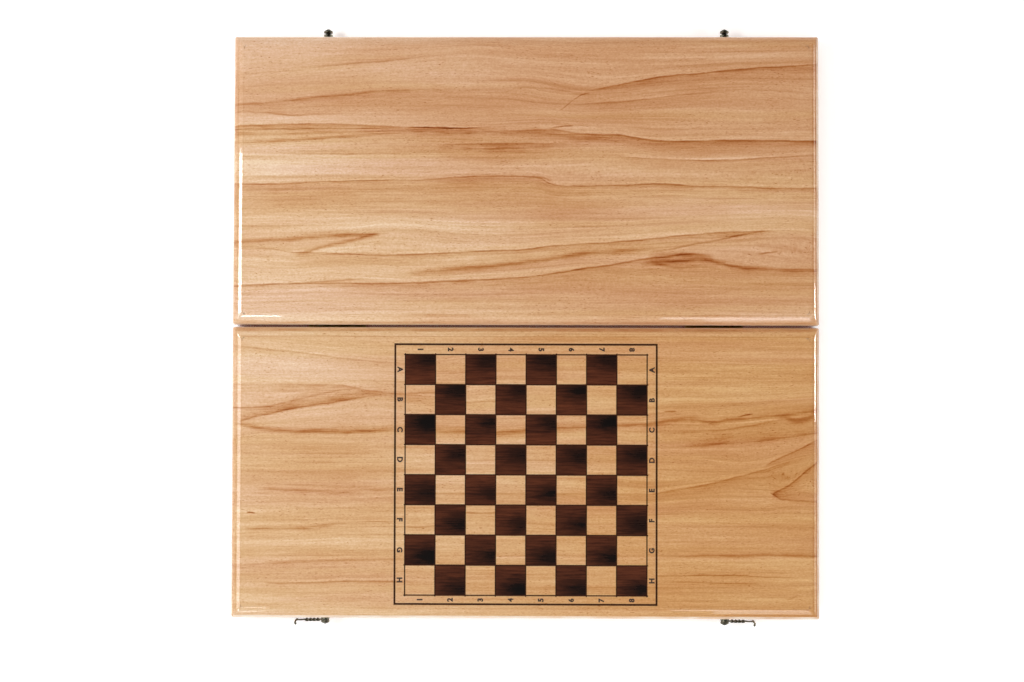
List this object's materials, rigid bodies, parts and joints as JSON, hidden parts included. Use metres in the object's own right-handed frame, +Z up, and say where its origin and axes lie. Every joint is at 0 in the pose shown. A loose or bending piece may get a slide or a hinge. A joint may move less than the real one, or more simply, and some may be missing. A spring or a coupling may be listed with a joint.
{
  "type": "backgammon board",
  "caption": "Flat wooden backgammon case in hinged halves, lying open and face down, with a chessboard on one outer face and swing hooks that hold it shut.",
  "frame": {"origin": "the table plane under the middle of the hinge line, which is the bottom centre of the open case", "axes": "+X along the hinge line, +Y across it towards the plain half, +Z up out of the outer panels; the case lies open and face down"},
  "size_m": [0.6, 0.6146, 0.0298],
  "materials": {
    "beech_panel": "clear gloss lacquer on beech, a burnt and stained chessboard on one panel",
    "beech_wall": "clear gloss lacquer on solid beech",
    "playing_field": "clear lacquer, points burnt and stained in two browns",
    "antique_bronze": "antique bronze plating, rubbed lighter on the edges",
    "hinge_brass": "satin brass",
    "hinge_screw": "satin brass"
  },
  "bodies": {
    "chess_half": {"chess_panel": "beech_panel", "chess_front_wall": "beech_wall", "chess_back_wall": "beech_wall", "chess_left_wall": "beech_wall", "chess_right_wall": "beech_wall", "chess_playfield": "playing_field", "hinge_left_leaf_a": "hinge_brass", "hinge_right_leaf_a": "hinge_brass", "hinge_left_pin": "hinge_brass", "hinge_right_pin": "hinge_brass", "chess_hinge_screws": "hinge_screw", "hook_left_base": "antique_bronze", "hook_right_base": "antique_bronze", "hook_left_pivot": "antique_bronze", "hook_right_pivot": "antique_bronze"},
    "plain_half": {"plain_panel": "beech_panel", "plain_front_wall": "beech_wall", "plain_back_wall": "beech_wall", "plain_left_wall": "beech_wall", "plain_right_wall": "beech_wall", "plain_playfield": "playing_field", "hinge_left_leaf_b": "hinge_brass", "hinge_right_leaf_b": "hinge_brass", "plain_hinge_screws": "hinge_screw", "catch_left_post": "antique_bronze", "catch_right_post": "antique_bronze", "catch_left_flange": "antique_bronze", "catch_right_flange": "antique_bronze"},
    "hook_left": {"hook_left": "antique_bronze"},
    "hook_right": {"hook_right": "antique_bronze"}
  },
  "joints": [
    {"name": "fold", "type": "hinge", "parent": "chess_half", "child": "plain_half", "pos_m": [0, 0, 0.00175], "axis": [-1, 0, 0], "range_deg": [-5.2, 179.27]},
    {"name": "hook_left_swing", "type": "hinge", "parent": "chess_half", "child": "hook_left", "pos_m": [-0.2045, -0.29808, 0.014], "axis": [0, -1, -0.0064], "range_deg": [-198.9, 71.1]},
    {"name": "hook_right_swing", "type": "hinge", "parent": "chess_half", "child": "hook_right", "pos_m": [0.2045, -0.29808, 0.014], "axis": [0, -1, -0.0064], "range_deg": [-71.1, 198.9]}
  ]
}
